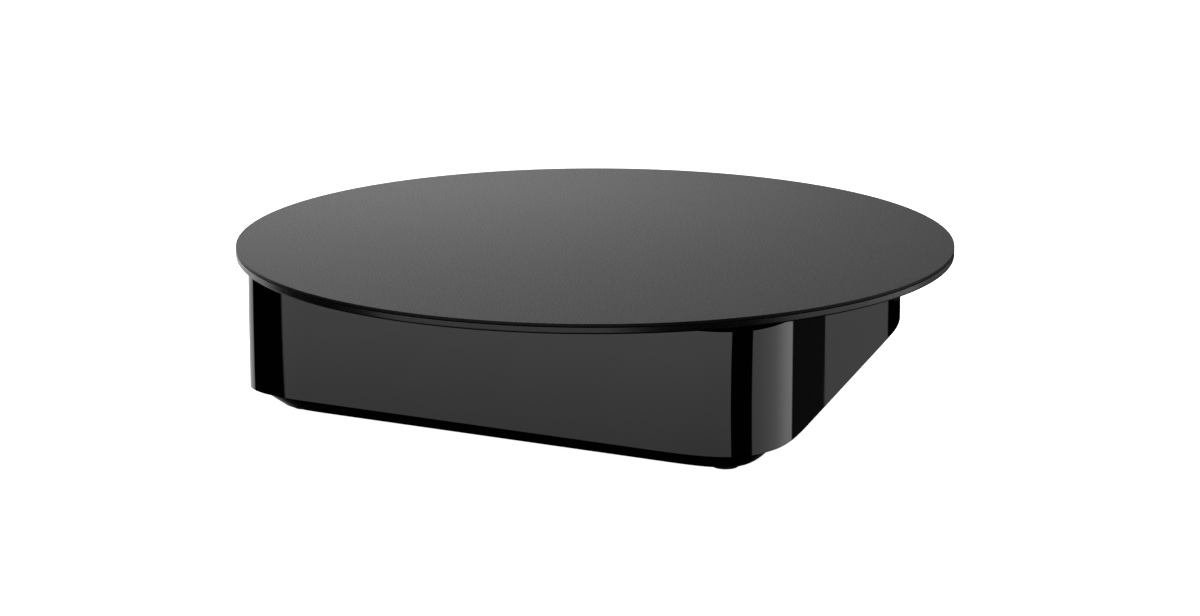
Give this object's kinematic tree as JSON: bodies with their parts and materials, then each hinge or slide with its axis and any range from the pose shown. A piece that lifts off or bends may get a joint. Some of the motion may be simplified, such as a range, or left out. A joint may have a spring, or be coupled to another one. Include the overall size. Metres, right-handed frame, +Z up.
{
  "type": "desktop 3d scanner turntable",
  "caption": "Low motorised turntable of a desktop 3D scanner: a thin round platter turns on a gloss black soft-cornered body with an undercut back.",
  "frame": {"origin": "on the table plane, under the platter's axis", "axes": "+Z up along the platter's axis, -Y out of the front face, +X to the right seen from the front"},
  "size_m": [0.2, 0.2, 0.045],
  "materials": {
    "board_green": "green solder mask",
    "can_metal": "capacitor cans",
    "cast_metal": "die-cast aluminium",
    "chip_black": "moulded chip bodies",
    "foot_rubber": "matt black rubber",
    "gear_plastic": "natural white acetal",
    "grained_plastic": "fine-grained matt black sheet",
    "ground_steel": "ground bearing steel",
    "housing_gloss": "high-gloss black moulding",
    "hub_metal": "turned aluminium",
    "lead_sleeve": "black braided sleeve",
    "motor_steel": "black-coated steel laminations",
    "pan_matt": "satin black moulding, faint spark texture",
    "pinion_brass": "cut brass",
    "platter_gloss": "gloss black moulded plate",
    "rotor_steel": "ground magnet rotor",
    "screw_steel": "plated screws",
    "sheet_steel": "zinc-plated sheet steel",
    "socket_black": "black nylon socket",
    "socket_metal": "stamped socket shell",
    "socket_white": "white nylon header",
    "spindle_steel": "ground steel bar",
    "spring_steel": "blued spring steel"
  },
  "bodies": {
    "turntable": {"platter_top_sheet": "grained_plastic", "platter_plate": "platter_gloss", "platter_screws": "screw_steel", "hub": "hub_metal", "main_gear": "gear_plastic", "gear_screws": "screw_steel", "spindle": "spindle_steel", "spindle_clip": "spring_steel", "bearing_sleeve": "spindle_steel", "bearing_inner_rings": "ground_steel"},
    "idler": {"idler_gear": "gear_plastic"},
    "motor_rotating": {"motor_shaft": "spindle_steel", "motor_rotor": "rotor_steel", "motor_pinion": "pinion_brass"},
    "base": {"upper_housing": "housing_gloss", "base_pan": "pan_matt", "housing_screws": "screw_steel", "front_left_foot": "foot_rubber", "front_right_foot": "foot_rubber", "back_left_foot": "foot_rubber", "back_right_foot": "foot_rubber", "bearing_housing": "cast_metal", "bearing_housing_screws": "screw_steel", "bearing_outer_rings": "ground_steel", "bearing_balls": "ground_steel", "chassis_plate": "sheet_steel", "chassis_screws": "screw_steel", "idler_axle": "spindle_steel", "axle_washer": "spindle_steel", "axle_clip": "spring_steel", "motor_front_cap": "cast_metal", "motor_stator": "motor_steel", "motor_rear_cap": "cast_metal", "motor_bearings": "ground_steel", "motor_screws": "screw_steel", "motor_socket": "socket_white", "motor_lead": "lead_sleeve", "control_board": "board_green", "board_screws": "screw_steel", "board_chips": "chip_black", "board_capacitors": "can_metal", "lead_header": "socket_white", "data_socket": "socket_metal", "power_socket": "socket_black"}
  },
  "joints": [
    {"name": "platter_spin", "type": "hinge", "parent": "base", "child": "turntable", "pos_m": [0, 0, 0.04], "axis": [0, 0, 1], "continuous": true},
    {"name": "idler_spin", "type": "hinge", "parent": "base", "child": "idler", "pos_m": [-0.04059, -0.01478, 0.03], "axis": [0, 0, 1], "continuous": true},
    {"name": "motor_spin", "type": "hinge", "parent": "base", "child": "motor_rotating", "pos_m": [-0.03594, -0.03216, 0.03], "axis": [0, 0, 1], "continuous": true}
  ],
  "couplings": [
    {"joint": "idler_spin", "follows": "platter_spin", "ratio": -5},
    {"joint": "motor_spin", "follows": "platter_spin", "ratio": 15}
  ]
}
